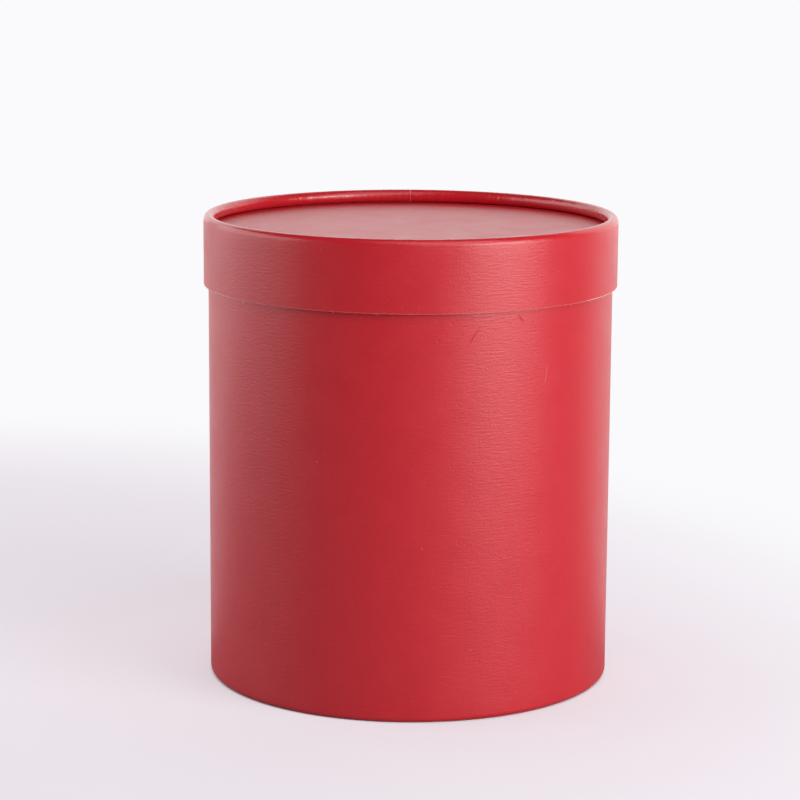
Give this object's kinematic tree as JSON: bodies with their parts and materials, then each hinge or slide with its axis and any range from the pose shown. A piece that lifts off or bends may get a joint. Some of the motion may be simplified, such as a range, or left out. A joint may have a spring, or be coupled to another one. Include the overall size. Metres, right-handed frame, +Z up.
{
  "type": "gift tube box",
  "caption": "Tall round board box with a slip-on lid whose rolled rim holds a sunken disc, for flowers and gifts.",
  "frame": {"origin": "middle of the foot, in the plane that the box stands on", "axes": "+Z up along the tube's axis, towards the lid; +Y away from the side that is pictured"},
  "size_m": [0.178, 0.178, 0.201],
  "materials": {
    "red_paper": "satin coated red paper",
    "plain_paper": "matte off-white lining paper",
    "board": "raw grey-brown wound board"
  },
  "bodies": {
    "body": {"body_tube": "board", "body_wrap": "red_paper", "body_lining": "plain_paper", "base_disc": "board", "base_disc_facing": "red_paper", "base_disc_lining": "plain_paper"},
    "lid": {"lid_tube": "board", "lid_wrap": "red_paper", "lid_lining": "plain_paper", "lid_disc": "board", "lid_disc_facing": "red_paper", "lid_disc_lining": "plain_paper"}
  },
  "joints": [
    {"name": "lid_lift", "type": "slide", "parent": "body", "child": "lid", "axis": [0, 0, 1], "range_m": [0, 0.08]}
  ]
}
